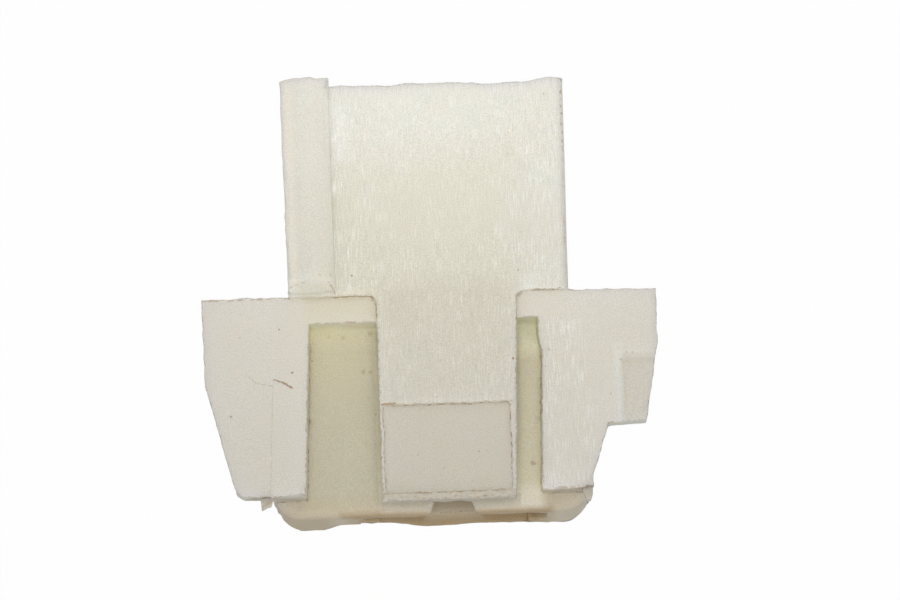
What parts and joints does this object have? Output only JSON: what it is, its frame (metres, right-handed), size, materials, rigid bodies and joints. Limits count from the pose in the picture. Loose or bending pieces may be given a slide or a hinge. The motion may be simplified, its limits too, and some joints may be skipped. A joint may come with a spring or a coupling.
{
  "type": "connector housing",
  "caption": "One-way push-on terminal housing in translucent nylon: square wire end with a keying rail, winged flange and a central latch arm between two slots.",
  "frame": {"origin": "on the back face, in the middle of the housing's outline in X and Y", "axes": "+X across the flange towards the eared wing, +Y towards the wire end, +Z out of the front face with the latch arm"},
  "size_m": [0.0196, 0.0188, 0.0093],
  "materials": {
    "natural_nylon": "translucent natural nylon, satin, slightly yellowed"
  },
  "bodies": {
    "root": {"housing": "natural_nylon"}
  },
  "joints": []
}
